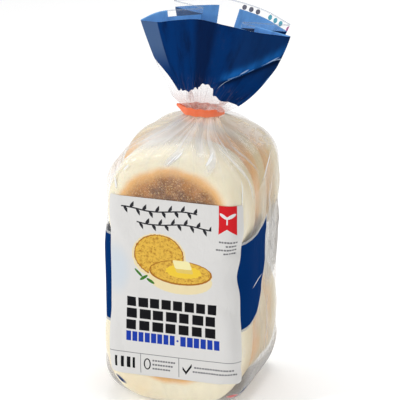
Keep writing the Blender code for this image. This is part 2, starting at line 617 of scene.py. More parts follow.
def wander(u, v, size_u, size_v, seed):
    """Smooth noise from -1 to 1 over the film, which joins up round the bag."""
    across = max(2, round(GIRTH / size_u))
    lattice = np.random.default_rng(seed).uniform(-1, 1, (across, 97))
    a = (u / GIRTH % 1.0) * across
    b = v / size_v + 40.0
    i, j = np.floor(a).astype(int), np.floor(b).astype(int)
    s, t = a - i, b - j
    s, t = s * s * (3 - 2 * s), t * t * (3 - 2 * t)
    i, after = i % across, (i + 1) % across
    j, above = j % 97, (j + 1) % 97
    low = lattice[i, j] * (1 - s) + lattice[after, j] * s
    high = lattice[i, above] * (1 - s) + lattice[after, above] * s
    return low * (1 - t) + high * t


def crease(u, v, size_u, size_v, seed):
    """Sharp ridges from 0 to 1 where the noise changes sign."""
    return (1 - np.abs(wander(u, v, size_u, size_v, seed))) ** 3


def pleat(u, count, seed):
    """Uneven folds round the bag: their phase wanders, and each has a sharp crest."""
    steps = np.random.default_rng(seed).uniform(-0.32, 0.32, count)
    at = (u / GIRTH % 1.0) * count
    index = np.floor(at).astype(int)
    share = at - index
    drift = steps[index % count] * (1 - share) + steps[(index + 1) % count] * share
    wave = np.cos(2 * np.pi * (at + drift))
    return np.sign(wave) * np.abs(wave) ** 0.8


def swell(u, v, middle_u, middle_v, half_width, half_height):
    """A smooth mound that is 1 at its middle."""
    return np.exp(-(((u - middle_u) / half_width) ** 2) - ((v - middle_v) / half_height) ** 2)


def outward(points):
    """Unit normals of a grid of points, rows by columns, pointing out of the bag."""
    along = np.gradient(points, axis=0)
    around = (np.roll(points, -1, axis=1) - np.roll(points, 1, axis=1)) / 2
    normal = np.cross(around, along)
    return normal / np.maximum(np.linalg.norm(normal, axis=2, keepdims=True), 1e-9)


def body_grid(columns):
    """The film from the middle of its base to the tie: points, and the place on the flat film of each."""
    foot = FOOT_TOP * (1 - np.cos(np.linspace(0, np.pi / 2, 20)))
    sides = np.linspace(FOOT_TOP, SHOULDER, 66)[1:]
    shoulder = SHOULDER + (NECK - SHOULDER) * np.sin(np.linspace(0, np.pi / 2, 46)[1:])
    neck = np.linspace(NECK, TIE_MIDDLE + 0.8, 8)[1:]
    heights = np.concatenate([foot, sides, shoulder, neck])
    rings = []
    girths = []
    for height in heights:
        half_width, half_depth, squareness, middle = body_section(height)
        pinch = 1.7 * min(1.0, max(0.0, (height - NECK + 1.5) / 2.5))
        ring, girth = superellipse_ring(
            half_width - pinch, half_depth - pinch, squareness, middle, columns
        )
        rings.append(np.column_stack([ring, np.full(columns, height)]))
        girths.append(girth)
    points = np.stack(rings)
    steps = np.linalg.norm(np.diff(points, axis=0), axis=2).mean(axis=1)
    v = np.concatenate([[0.0], np.cumsum(steps)])
    v += FOOT_TOP - v[len(foot) - 1]
    u = np.arange(columns) / columns * GIRTH
    u = np.where(u > GIRTH / 2, u - GIRTH, u)
    u, v = np.meshgrid(u, v)
    return points, u, v, np.array(girths)[:, None]


def body_folds(u, v, z, girths):
    """How far the film stands out from its smooth form, in millimetres."""
    spare = np.sqrt(np.maximum((GIRTH / girths) ** 2 - 1, 0.0))
    rise = np.clip((z - SHOULDER) / (NECK - SHOULDER), 0, 1)
    folds = np.zeros_like(u)
    held = 1 - 0.75 * np.clip((z - NECK + 2.0) / 3.0, 0, 1)
    for count, start, share, seed in ((9, 0.15, 0.30, 3), (21, 0.42, 0.42, 4), (41, 0.78, 0.16, 5)):
        reach = np.clip((rise - start) / (1 - start), 0, 1) ** 0.8
        depth = girths / (2 * np.pi * count) * spare * share * reach
        strength = 0.65 + 0.5 * wander(u, v, 25.0, 60.0, seed + 20)
        folds += depth * pleat(u, count, seed) * strength * held
    panel = GIRTH / 4 - 0.5 * (HALF_DEPTH - HALF_WIDTH)
    wall = np.clip(1 - rise * 1.6, 0, 1) * np.clip(z / 30.0, 0, 1)
    for edge in (panel * 0.5, GIRTH / 2 - panel * 0.5):
        folds += 0.5 * np.exp(-np.abs(np.abs(u) - edge) / 1.3) * wall
    folds += 0.35 * wander(u, v, 34.0, 42.0, 31) * wall
    # the lower front corners stand off the round muffins, more so on the left
    low = np.exp(-(((z - 13.0) / 9.0) ** 2))
    folds += 0.6 * low * np.exp(-np.abs(u + 47.0) / 6.0) + 1.5 * low * np.exp(-np.abs(u - 47.0) / 8.0)
    folds += 0.9 * swell(u, z, -62.0, 92.0, 18.0, 22.0)
    # a fold that crosses the right side, from the shoulder down to the front
    slant = (v - 139.0 - (u - 72.0) * 0.41) / 1.08
    ends = np.clip((u - 66.0) / 8.0, 0, 1) * np.clip((114.0 - u) / 8.0, 0, 1)
    folds += 1.3 * np.exp(-np.abs(slant) / 1.6) * ends
    # a loose crumpled fold on the right, and dents beside the label
    folds += 2.2 * swell(u, v, 109.0, 97.0, 8.0, 18.0)
    folds += 1.6 * crease(u, v, 7.0, 12.0, 35) * swell(u, v, 109.0, 97.0, 10.0, 20.0)
    folds -= 1.4 * swell(u, v, 45.0, 88.0, 9.0, 7.0)
    folds -= 0.8 * swell(u, v - (u - 38.0) * 0.3, 38.0, 104.0, 12.0, 3.0)
    # the left side draws in over the upper muffin, and the right shoulder is squarer than the left
    folds -= 2.2 * swell(u, 0.0, -62.0, 0.0, 22.0, 1.0) * np.clip((z - 100.0) / 25.0, 0, 1) * wall
    folds += 3.0 * swell(u, z, 108.0, 156.0, 24.0, 11.0)
    side = swell(np.abs(u), 0.0, GIRTH / 4, 0.0, 26.0, 1.0)
    folds += 0.9 * crease(u, v, 17.0, 30.0, 32) * side * wall
    folds += 0.5 * crease(u, v, 9.0, 14.0, 33) * side * wall
    return folds


def clear_of(points, cakes, gap, reach):
    """Moves points that lie inside a muffin out to its skin and a gap beyond."""
    for cake in cakes:
        mesh = cake.data
        corners = [vertex.co for vertex in mesh.vertices]
        tree = BVHTree.FromPolygons(corners, [face.vertices for face in mesh.polygons])
        box = np.array([vertex.co for vertex in mesh.vertices]) / MM
        low, high = box.min(axis=0) - gap, box.max(axis=0) + gap
        near = np.argwhere(np.all((points > low) & (points < high), axis=2))
        for row, column in near:
            at = Vector(points[row, column] * MM)
            skin, normal, _, _ = tree.find_nearest(at, reach * MM)
            if skin is None:
                continue
            out = (at - skin).dot(normal) / MM
            if out < gap:
                points[row, column] += np.array(normal) * (gap - out)
    return points


def eased(points, times, share=0.5):
    """Each point moved part of the way to the middle of its neighbours."""
    for _ in range(times):
        around = (np.roll(points, 1, axis=1) + np.roll(points, -1, axis=1)) / 2
        along = points.copy()
        along[1:-1] = (points[:-2] + points[2:]) / 2
        points = points * (1 - share) + (around + along) / 2 * share
    return points


def skin(name, points, u, v, material, inside=None):
    """A film from a grid of points, joined round the bag, with its flat places as a UV map."""
    rows, columns = points.shape[:2]
    vertices = points.reshape(-1, 3) * MM
    index = np.arange(rows * columns).reshape(rows, columns)
    after = np.roll(index, -1, axis=1)
    quads = np.stack([index[:-1], after[:-1], after[1:], index[1:]], -1).reshape(-1, 4)
    mesh = bpy.data.meshes.new(name)
    mesh.from_pydata(vertices.tolist(), [], quads.tolist())
    flat = mesh.uv_layers.new(name="film")
    step = GIRTH / columns
    low_u = np.tile(u[0], rows - 1).reshape(rows - 1, columns)
    corners = np.zeros((rows - 1, columns, 4, 2))
    corners[..., 0, 0] = corners[..., 3, 0] = low_u
    corners[..., 1, 0] = corners[..., 2, 0] = low_u + step
    corners[..., 0, 1] = v[:-1]
    corners[..., 1, 1] = v[:-1]
    corners[..., 2, 1] = v[1:]
    corners[..., 3, 1] = v[1:]
    flat.data.foreach_set("uv", (corners * 0.01).ravel())
    made = bpy.data.objects.new(name, mesh)
    bpy.context.scene.collection.objects.link(made)
    mesh.materials.append(material)
    if inside is not None:
        mesh.materials.append(inside)
    return made


def close_base(made, columns):
    """Fills the open ring at the bottom of a film, as the sealed end of the bag."""
    only(made)
    bpy.ops.object.mode_set(mode="EDIT")
    choose(lambda vertex: vertex.index < columns)
    bpy.ops.mesh.extrude_region_move()
    bpy.ops.transform.resize(value=(0.5, 0.5, 1.0), center_override=(0.0, 0.0, 0.0))
    bpy.ops.mesh.merge(type="CENTER")
    bpy.ops.mesh.select_all(action="SELECT")
    bpy.ops.mesh.normals_make_consistent(inside=False)
    bpy.ops.object.mode_set(mode="OBJECT")


# ---------------------------------------------------------------- the film's print


def rounded_box(u, v, low_u, high_u, low_v, high_v, radius=0.0):
    """1 inside a box on the flat film, whose corners are rounded."""
    across = abs(u - (low_u + high_u) / 2) - ((high_u - low_u) / 2 - radius)
    along = abs(v - (low_v + high_v) / 2) - ((high_v - low_v) / 2 - radius)
    if radius == 0.0:
        return (across < 0.0) * (along < 0.0)
    across = across.most(0.0)
    along = along.most(0.0)
    return (across * across + along * along) < radius * radius


def disc(u, v, middle_u, middle_v, half_width, half_height, grow=0.0):
    """1 inside an ellipse on the flat film. grow, a wire or a number, makes its edge uneven."""
    across = (u - middle_u) / half_width
    along = (v - middle_v) / half_height
    return (across * across + along * along + grow) < 1.0


def block_row(u, v, low_u, high_u, middle_v, height, pitch, fill, seed):
    """A row of plain blocks whose widths differ a little."""
    cell = (u - low_u) / pitch
    index = cell.math("FLOOR")
    draw = index.node("ShaderNodeTexWhiteNoise", {"W": index + seed}, {"noise_dimensions": "1D"})
    width = draw * (1.0 - fill) + (fill * 2.0 - 1.0)
    local = cell - index
    return (local < width) * rounded_box(u, v, low_u, high_u, middle_v - height / 2, middle_v + height / 2)


def label_print(tree, u, v, colour):
    """The front label's print over a ground colour: sprigs, a ribbon, toasted halves, and plain blocks."""
    ink = (0.012, 0.012, 0.014)
    grey = (0.18, 0.18, 0.19)
    blue = (0.02, 0.055, 0.40)
    # two leafy sprigs, where a heading would be
    for left, right, middle in ((-31.0, 18.0, 128.8), (-21.0, 27.0, 120.3)):
        span = (u > left) * (u < right)
        bow = (u * 0.16).math("SINE") * 0.9 + middle
        stem = abs(v - bow) < 0.45
        cell = (u - left) / 4.1
        index = cell.math("FLOOR")
        local = (cell - index - 0.5) * 4.1
        side = index.math("MODULO", 2.0) * 2.0 - 1.0
        up = (v - bow) * side
        lean = local - up * 0.7
        leaf = ((lean / 1.35) ** 2.0 + ((up - 2.3) / 2.3) ** 2.0) < 1.0
        colour = paint(tree, colour, (0.03, 0.03, 0.035), (stem + leaf).least(1.0) * span)
    # a red ribbon with a notched end and a white seedling, hung from the top edge
    ribbon = rounded_box(u, v, 31.6, 42.0, 117.4, 136.2) * (v > abs(u - 36.8) * -0.7 + 121.2)
    colour = paint(tree, colour, (0.68, 0.022, 0.028), ribbon)
    seedling = disc(u, v + (u - 34.6) * 0.55, 34.6, 129.6, 2.5, 1.2)
    seedling = seedling + disc(u, v - (u - 39.0) * 0.55, 39.0, 129.6, 2.5, 1.2)
    seedling = seedling + rounded_box(u, v, 36.4, 37.2, 124.2, 129.4)
    colour = paint(tree, colour, (0.80, 0.80, 0.80), seedling.least(1.0))
    for row in range(4):
        height = 112.8 - row * 2.6
        inset = (0.0, 4.0, -2.0, 2.5)[row]
        colour = paint(tree, colour, grey, block_row(u, v, 32.0 + inset, 42.6, height, 1.1, 1.6, 0.86, row))
    colour = picture_print(tree, u, v, colour)
    # three heavy rows and a blue one
    for row, (pitch, count) in enumerate(((7.55, 8), (8.63, 7), (8.63, 7))):
        middle = 67.6 - row * 7.7
        left = -28.0 - row * 0.3
        mask = block_row(u, v, left, left + pitch * count, middle, 6.3, pitch, 0.86, 5.0 + row * 9)
        colour = paint(tree, colour, ink, mask)
    left = block_row(u, v, -28.6, 3.9, 44.6, 6.4, 4.1, 0.88, 21.0)
    right = block_row(u, v, 7.0, 33.0, 44.6, 6.4, 4.4, 0.88, 24.0)
    colour = paint(tree, colour, blue, (left + right + disc(u, v, 5.2, 44.6, 0.7, 0.7)).least(1.0))
    # the strip of facts along the foot
    rules = (
        rounded_box(u, v, -39.6, 46.0, 33.3, 33.7)
        + rounded_box(u, v, -19.2, -18.8, 20.5, 33.5)
        + rounded_box(u, v, 5.8, 6.2, 20.5, 33.5)
    )
    colour = paint(tree, colour, grey, rules.least(1.0))
    figures = block_row(u, v, -36.0, -20.9, 26.8, 7.2, 3.9, 0.66, 41.0)
    figures = figures + (disc(u, v, -14.6, 27.0, 2.3, 3.8) - disc(u, v, -14.6, 27.0, 1.5, 3.0))
    stroke = abs(v - 24.0 - (u - 10.6) * 1.45) < 1.05
    tick = stroke * rounded_box(u, v, 10.2, 14.4, 23.0, 31.5)
    stroke = abs(v - 24.2 + (u - 10.6) * 1.3) < 1.0
    tick = tick + stroke * rounded_box(u, v, 8.4, 10.9, 23.0, 28.5)
    colour = paint(tree, colour, ink, (figures + tick).least(1.0))
    for low, high, middle, seed in (
        (-11.2, 3.6, 29.7, 51.0),
        (-11.2, 2.4, 27.0, 52.0),
        (-11.2, 0.6, 24.3, 53.0),
        (16.0, 41.0, 28.2, 54.0),
        (15.0, 43.0, 25.4, 55.0),
    ):
        colour = paint(tree, colour, grey, block_row(u, v, low, high, middle, 1.1, 1.7, 0.85, seed))
    return colour


def picture_print(tree, u, v, colour):
    """Two toasted halves, one leaning on the other, with a pat of butter and some leaves."""
    place = u.node("ShaderNodeCombineXYZ", {0: u, 1: v})
    mottle = place.noise(0.45, 3.0, 0.6)
    holes = place.noise(0.95, 2.0, 0.55).ramp(0.60, 0.66)
    wobble = (mottle - 0.5) * 0.25
    gold = (0.80, 0.50, 0.08)
    brown = (0.42, 0.17, 0.03)
    cream = (0.86, 0.74, 0.46)
    # the upright half behind
    colour = paint(tree, colour, cream, disc(u, v, -7.0, 99.0, 17.6, 15.0, wobble))
    toast = paint(tree, gold, brown, mottle.ramp(0.45, 0.72) * 0.8)
    toast = paint(tree, toast, brown, holes)
    colour = paint(tree, colour, brown, disc(u, v, -7.0, 99.6, 16.2, 13.6, wobble))
    colour = paint(tree, colour, toast, disc(u, v, -7.0, 99.6, 15.4, 12.9, wobble))
    # the half that lies in front, with its pale side
    colour = paint(tree, colour, cream, disc(u, v, 7.0, 84.5, 20.5, 8.8, wobble * 0.5))
    colour = paint(tree, colour, cream, disc(u, v, 7.0, 88.5, 20.5, 8.6, wobble * 0.5))
    colour = paint(tree, colour, brown, disc(u, v, 7.0, 89.6, 20.4, 8.0, wobble * 0.5))
    colour = paint(tree, colour, toast, disc(u, v, 7.0, 89.9, 19.4, 7.2, wobble * 0.5))
    # melted butter and the pat on it
    colour = paint(tree, colour, (0.90, 0.62, 0.06), disc(u, v, 9.0, 90.5, 11.5, 4.2, wobble * 2.5))
    lean = u + v * 0.35 - 41.5
    colour = paint(tree, colour, (0.80, 0.60, 0.16), rounded_box(lean, v, -5.6, 5.4, 89.6, 95.6, 1.2))
    colour = paint(tree, colour, (0.93, 0.85, 0.45), rounded_box(lean, v, -5.6, 5.4, 92.2, 97.6, 1.2))
    # leaves
    leaf = (0.06, 0.20, 0.03)
    for middle_u, middle_v, tilt in ((-17.0, 84.0, 0.6), (-12.6, 82.2, -0.5), (-20.4, 86.8, -0.9)):
        slant = v - middle_v - (u - middle_u) * tilt
        colour = paint(tree, colour, leaf, disc(u, slant, middle_u, 0.0, 2.6, 1.1))
    return colour


def fold_place(u, v):
    """Where a point of the fan lies across and along the long fold to its right-hand edge."""
    cosine, sine = math.cos(FOLD_TURN), math.sin(FOLD_TURN)
    across = (v - FOLD_START[1]) * cosine - (u - FOLD_START[0]) * sine
    along = (u - FOLD_START[0]) * cosine + (v - FOLD_START[1]) * sine
    return across, along


def fan_print(u, v, length):
    """1 on the printed part of the fan: all but its foot, its hem and the stripe down its back seam."""
    rise = u.ramp(-11.0, -1.0) * u.ramp(18.5, 13.5) * 5.6
    ragged = ((u * 0.31).math("SINE") * 0.8 + (u * 0.83 + 1.0).math("SINE") * 0.5) * u.ramp(24.0, 16.0)
    foot = ragged + rise + 18.9
    seam = abs(abs(u) - GIRTH / 2) - 7.5
    # the print stops short of the left-hand fold, more so towards the tie
    fold = (u + 60.0).most((u + 60.0) * -0.7) - (28.6 - v * 0.62).most(0.0)
    hem = (abs(u) > 78.0) * 4.3
    return (v > foot) * (v < length - hem) * (seam > 0.0) * (fold > 0.0)


# Bright marks where the film turns to the light: place, half length, half width and turn in degrees.
BODY_GLINTS = (
    (0.5, 166.0, 7.5, 0.8, 59.0),
    (4.6, 169.5, 6.0, 1.1, 59.0),
    (30.5, 168.5, 8.5, 1.5, 50.0),
    (-30.4, 155.5, 3.2, 0.9, 68.0),
    (-35.5, 143.8, 4.6, 1.0, 106.0),
    (-34.0, 163.0, 4.0, 0.6, 60.0),
    (46.8, 142.5, 9.5, 0.55, 78.0),
    (89.0, 146.5, 17.0, 0.5, 22.0),
    (71.5, 77.5, 11.5, 0.4, 8.0),
)
SOFT_GLINTS = (
    (1.0, 168.0, 13.0, 4.5, 59.0),
    (31.0, 166.0, 14.0, 4.0, 62.0),
    (52.0, 160.0, 22.0, 2.2, 112.0),
    (57.0, 146.0, 14.0, 1.6, 96.0),
    (-37.0, 150.0, 13.0, 2.2, 70.0),
    (70.0, 158.0, 16.0, 2.0, 118.0),
    (-52.0, 186.0, 36.0, 18.0, 0.0),
    (96.0, 120.0, 20.0, 2.2, 100.0),
    (-88.0, 130.0, 26.0, 2.5, 80.0),
    (-96.0, 60.0, 24.0, 2.2, 104.0),
    (92.0, 44.0, 22.0, 2.4, 78.0),
)
FAN_INSIDE_GLINTS = (
    (128.0, 60.5, 5.5, 0.6, 130.0),
    (124.0, 59.0, 3.0, 0.8, 160.0),
    (112.0, 60.5, 2.6, 1.0, 100.0),
)
FAN_GLINTS = (
    (45.5, 54.0, 4.6, 0.9, 44.0),
    (49.0, 54.6, 4.0, 0.5, 18.0),
    (22.5, 31.0, 9.0, 0.35, 59.0),
    (31.0, 43.5, 3.6, 0.5, 48.0),
)


def glints(u, v, marks, inner=0.25):
    """Marks on the flat film, softly edged from an inner share of their size."""
    total = 0.0
    for middle_u, middle_v, length, width, degrees in marks:
        cosine, sine = math.cos(math.radians(degrees)), math.sin(math.radians(degrees))
        along = (u - middle_u) * cosine + (v - middle_v) * sine
        across = (v - middle_v) * cosine - (u - middle_u) * sine
        mark = ((along / length) ** 2.0 + (across / width) ** 2.0).ramp(1.0, inner)
        total = mark + total
    return total.least(1.0)


def film_material(name, settings, fan_length=None, inside=False):
    """Clear film with its print. The body and the fan have print of their own."""
    material, start = new_material(name)
    tree = start.tree
    flat = start.node("ShaderNodeUVMap", settings={"uv_map": "film"})
    u, v = (flat.node("ShaderNodeSeparateXYZ", {"Vector": flat}, output=i) * 100.0 for i in (0, 1))
    place = u.node("ShaderNodeCombineXYZ", {0: u, 1: v})
    navy = tuple(settings.navy)
    haze_and_painted_light = (0.93, 0.93, 0.94)
    painted_tie_reflection = (0.93, 0.66, 0.60)
    if fan_length is None:
        shines = glints(u, v, BODY_GLINTS)
        shine_colour = (0.97, 0.97, 0.97)
        dent = ((v - 88.0) / 10.0) ** 2.0
        pinch = (dent * -1.0).math("EXPONENT") * 2.2 + (v * 0.21).math("SINE") * 0.25
        label = rounded_box(u + pinch, v, -10.0, 46.2, 19.0, 136.2, 2.5)
        label = label + rounded_box(u, v, -39.6, 20.0, 19.0, 136.2, 2.5)
        label = label.least(1.0)
        span = abs(u)
        span_in = span - 46.0
        top = (span - 54.0).most(0.0) ** 2.0 * 0.004 + 109.0
        foot = (span_in.most(0.0) / 34.0) ** 3.0 * 14.0 + 53.6
        far = v.ramp(70.0, 88.0, 80.5, 88.5)
        wing = (v < top) * (v > foot) * (span < far)
        border = (v < top + 1.6) * (v > foot - 1.6) * (span < far + 1.4)
        back_span = GIRTH / 2 - span
        back = rounded_box(back_span, v, -10.0, 30.0, 46.0, 122.0, 5.0)
        panel = rounded_box(back_span, v, -10.0, 26.0, 51.0, 117.0, 2.5)
        cover = (label + wing * 0.985 + border * 0.5 + back).least(1.0)
        streaks = place.noise(0.10, 3.0, 0.6, stretch=(1.0, 0.08, 1.0)).ramp(0.42, 0.64)
        rays = (1.0 - abs(place.noise(0.11, 3.0, 0.6, stretch=(1.0, 0.05, 1.0)) - 0.5) * 11.0).most(0.0)
        rays = rays * (v - abs(u).ramp(52.0, 34.0) * 14.0).ramp(146.0, 184.0)
        gathered = v.ramp(140.0, 198.0) * (streaks * 1.2 + 0.3) + v.ramp(152.0, 192.0) * 0.6 + rays * 0.7
        wrinkles = (1.0 - abs(place.noise(0.16, 3.0, 0.6, stretch=(0.35, 1.0, 1.0)) - 0.5) * 12.0).most(0.0)
        patch = (((u - 112.0) / 24.0) ** 2.0 + ((v - 164.0) / 15.0) ** 2.0).ramp(1.0, 0.2)
        gathered = gathered + patch * (wrinkles * 1.4 + 0.4)
        sides = abs(u).ramp(54.0, 76.0) * (GIRTH / 2 - abs(u)).ramp(30.0, 52.0)
        slack = (1.0 - abs(place.noise(0.045, 1.0, 0.4, (1.0, 0.35, 1.0), 0.35) - 0.5) * 16.0).most(0.0)
        gathered = gathered + sides * (slack ** 2.0 * 0.5 + 0.05)
        waist = (((u - 98.0) / 17.0) ** 2.0 + ((v - 93.0) / 31.0) ** 2.0).ramp(1.0, 0.2)
        gathered = gathered + glints(u, v, SOFT_GLINTS, 0.0) * 1.5
        ragged = place.noise(0.13, 3.0, 0.6) * 2.4 - 1.2
        loop = (((u - 106.0) / 12.0) ** 2.0 + ((v - 98.0) / 24.0) ** 2.0 + ragged).ramp(1.0, 0.7)
        crumple_shade = abs(place.noise(0.17, 2.0, 0.5, (1.5, 0.5, 1.0)) - 0.5)
        corner = v.ramp(34.0, 6.0) * abs(u).ramp(36.0, 50.0)
        gathered = (gathered + loop * 1.0 + corner * 0.4).least(2.1)
        # slack film is clear when faced and more opaque when seen along its surface; its haze is painted
        # shade, tan on the sides and grey at the waist between the rows, in the loop and at the lower
        # corners, with dark painted shade in the loop's crumples
        edgewise = (waist * 0.9 + loop * 0.5 + corner * 0.8 + sides * 0.12).least(1.0)
        haze_and_painted_light = paint(tree, haze_and_painted_light, (0.66, 0.60, 0.51), sides * 0.6)
        haze_and_painted_light = paint(tree, haze_and_painted_light, (0.50, 0.48, 0.45), (waist + loop * 0.5).least(1.0) * 0.8)
        haze_and_painted_light = paint(tree, haze_and_painted_light, (0.32, 0.32, 0.33), corner * 0.9)
        haze_and_painted_light = paint(tree, haze_and_painted_light, (0.25, 0.25, 0.27), loop * crumple_shade.ramp(0.024, 0.008) * 0.6)
        # painted reflection: the film below the tie takes on the tie's pinkish colour
        haze_and_painted_light = paint(tree, haze_and_painted_light, painted_tie_reflection, v.ramp(195.0, 206.0) * 0.6)
        # a corner of the print that is folded under the base shows at its right
        tucked_pink = glints(u, v, ((42.5, 8.6, 5.0, 2.0, 12.0),), 0.1)
        tucked_navy = glints(u, v, ((51.5, 11.0, 5.5, 1.5, 24.0), (-34.0, 14.0, 5.0, 1.8, -35.0)), 0.1)
        cover = (cover + (tucked_pink * 0.6 + tucked_navy * 0.8).least(0.8)).least(1.0)
        haze_and_painted_light = paint(tree, haze_and_painted_light, (0.80, 0.22, 0.22), tucked_pink)
        haze_and_painted_light = paint(tree, haze_and_painted_light, navy, tucked_navy)
        colour = paint(tree, haze_and_painted_light, (0.62, 0.64, 0.66), border)
        colour = paint(tree, colour, navy, wing)
        colour = paint(tree, colour, navy, back)
        colour = paint(tree, colour, tuple(settings.paper), panel)
        grey = (0.18, 0.18, 0.19)
        for row in range(9):
            middle = 110.0 - row * 6.2
            rule = rounded_box(back_span, v, -10.0, 22.5, middle - 2.9, middle - 2.6)
            mark = block_row(u, v, -GIRTH, GIRTH, middle, 1.6, 2.4, 0.88, 60.0 + row)
            mark = mark * (back_span < 22.5) * (back_span > 4.0)
            colour = paint(tree, colour, grey, (rule * panel + mark * panel).least(1.0))
        # painted shade: a bluish grey over the left of the label
        bluish_shade = (((u + 36.0) / 12.0) ** 2.0 + ((v - 88.0) / 20.0) ** 2.0).ramp(1.0, 0.0) * 0.7
        paper = paint(tree, tuple(settings.paper), (0.60, 0.68, 0.76), bluish_shade)
        colour = paint(tree, colour, paper, label)
        colour = label_print(tree, u, v, colour)
    else:
        shines = glints(u, v, FAN_INSIDE_GLINTS if inside else FAN_GLINTS) * 0.6
        shine_colour = (0.50, 0.66, 0.90)
        edgewise = 0.0
        printed = fan_print(u, v, fan_length)
        cover = printed * 0.975
        deep = (0.003, 0.010, 0.045)
        streaks = place.noise(0.11, 4.0, 0.62, (1.0, 0.3, 1.0))
        if inside:
            # painted light: the inside is a lighter, lit blue near the mouth and stays navy further down
            light = paint(tree, navy, (0.19, 0.45, 0.84), v.ramp(fan_length - 32.0, fan_length - 22.0))
            ink = paint(tree, light, (0.06, 0.14, 0.34), streaks.ramp(0.45, 0.8) * 0.6)
        else:
            ink = paint(tree, navy, deep, streaks.ramp(0.42, 0.75) * 0.75)
            # single layers of ink, on the gusset and behind, show lighter than the doubled front
            single = (u + 43.5).ramp(0.6, -0.6) * v.ramp(30.0, 54.0)
            ink = paint(tree, ink, (0.085, 0.150, 0.290), single * 0.8)
            band = (abs(u + 5.0) / 9.0).ramp(1.35, 0.5) * v.ramp(14.0, 24.0)
            ink = paint(tree, ink, deep, band * 0.8)
            upper = (u - 12.0).ramp(0.0, 14.0) * v.ramp(34.0, 50.0)
            ink = paint(tree, ink, (0.008, 0.030, 0.100), upper * 0.45)
            # the light along the top of the long fold, and the dark under it
            across, along = fold_place(u, v)
            lit = (((across - 3.0) / 2.8) ** 2.0 * -1.0).math("EXPONENT") * along.ramp(4.0, 16.0)
            shade = (((across + 1.6) / 1.7) ** 2.0 * -1.0).math("EXPONENT") * along.ramp(4.0, 12.0)
            ink = paint(tree, ink, (0.010, 0.115, 0.40), lit * (streaks.ramp(0.65, 0.35) * 0.5 + 0.5))
            ink = paint(tree, ink, (0.002, 0.006, 0.025), shade * 0.85)
            # painted highlight: a thin light line along the crest of the long fold
            wisp_highlight = (abs(across - 1.2) < 0.35) * (along > 14.0) * (streaks < 0.52)
            ink = paint(tree, ink, (0.35, 0.55, 0.80), wisp_highlight * 0.45)
            # painted highlights: faint purplish crease lines near the neck
            crease_highlights = abs(place.noise(0.30, 2.0, 0.5, (1.0, 0.12, 1.0)) - 0.5) < 0.012
            ink = paint(tree, ink, (0.09, 0.07, 0.12), crease_highlights * v.ramp(34.0, 18.0) * 0.7)
        # painted reflection: the film just above the tie takes on the tie's pinkish colour
        haze_and_painted_light = paint(tree, haze_and_painted_light, painted_tie_reflection, v.ramp(24.0, 5.0) * 0.85)
        colour = paint(tree, haze_and_painted_light, ink, printed)
        # the printer's colour dots on the hem, right of the back seam
        run = GIRTH / 2 - 8.0 - u
        cell = run / 4.9
        local = (cell - cell.math("FLOOR") - 0.5) * 4.9
        index = cell.math("FLOOR")
        along = v - (fan_length - 2.6)
        gaps = (abs(index - 3.0) < 0.5) + (abs(index - 7.0) < 0.5)
        held = (run > 0.0) * (run < 44.0) * (1.0 - gaps)
        dot = ((local * local + along * along) < 2.4) * held
        ink = paint(tree, (0.20, 0.20, 0.25), (0.16, 0.56, 0.66), index > 3.5)
        ink = paint(tree, ink, (0.72, 0.22, 0.50), index > 7.5)
        ink = paint(tree, ink, (0.85, 0.78, 0.22), index > 8.5)
        colour = paint(tree, colour, ink, dot)
        cover = (cover + dot * 0.85).least(1.0)
        gathered = v.ramp(26.0, 4.0)
        rim = v.ramp(fan_length - 1.1, fan_length - 0.4) * (abs(u) > 78.0)
        colour = paint(tree, colour, (0.42, 0.50, 0.62), rim * (1.0 - printed))
        gathered = gathered + abs(u + 59.5).ramp(1.3, 0.3) * 0.8 + rim * 1.4
    fine = place.noise(0.30, 4.0, 0.62, stretch=(1.0, 0.35, 1.0))
    crinkle = 1.0 - abs(place.noise(0.11, 3.0, 0.55, stretch=(1.0, 0.4, 1.0), output=0) - 0.5) * 6.0
    relief = crinkle.most(0.0) ** 2.0 * 0.5 + fine * 0.35
    normal = start.node("ShaderNodeBump", {"Strength": 0.35, "Distance": 0.0006, "Height": relief})
    colour = paint(tree, colour, shine_colour, shines)
    skin_shader = start.node(
        "ShaderNodeBsdfPrincipled",
        {"Base Color": colour, "Roughness": 0.45, "Normal": normal, "Specular IOR Level": 0.0},
    )
    facing = start.node("ShaderNodeLayerWeight", {"Blend": 0.5, "Normal": normal}, output=1)
    veil = facing ** 2.5 * (edgewise + 0.17) + crinkle.most(0.0) ** 2.0 * 0.02 + gathered * 0.19 + 0.010
    share = (cover + (1.0 - cover) * veil).least(1.0).most(shines * 0.85)
    clear = start.node("ShaderNodeBsdfTransparent", {"Color": (1.0, 1.0, 1.0, 1.0)})
    body = start.node("ShaderNodeMixShader", {0: share, 1: clear, 2: skin_shader})
    shine = start.node(
        "ShaderNodeBsdfGlossy", {"Color": (1.0, 1.0, 1.0, 1.0), "Roughness": 0.09, "Normal": normal}
    )
    gloss = (facing ** 6.0 * 0.28 + 0.007) * (1.0 - cover * 0.93)
    show(start.node("ShaderNodeMixShader", {0: gloss, 1: body, 2: shine}))
    return material


class MUFFINS_OT_add_bag(bpy.types.Operator):
    """Add the film round the muffins, from its sealed base to the tie"""

    bl_idname = "muffins.add_bag"
    bl_label = "Bag body"

    def execute(self, context):
        settings = context.scene.film_settings
        columns = 280
        cakes = [bpy.data.objects.get(place[0]) for place in muffin_places()]
        if None in cakes:
            raise RuntimeError("The bag is shaped round the muffins, so they must be added first")
        points, u, v, girths = body_grid(columns)
        folds = body_folds(u, v, points[..., 2], girths)
        points = points + outward(points) * folds[..., None]
        points = clear_of(points, cakes, 0.35, 12.0)
        points = eased(points, 1, 0.4)
        points = clear_of(points, cakes, 0.3, 12.0)
        points[..., 2] = np.maximum(points[..., 2], 0.12)
        film = skin("bag_film", points, u, v, film_material("bag_film", settings))
        close_base(film, columns)
        modify(film, "SOLIDIFY", thickness=settings.thickness, offset=0.0)
        film.data.shade_smooth()
        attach(film, BODY)
        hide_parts("bag")
        return {"FINISHED"}


# ---------------------------------------------------------------- the fan above the tie


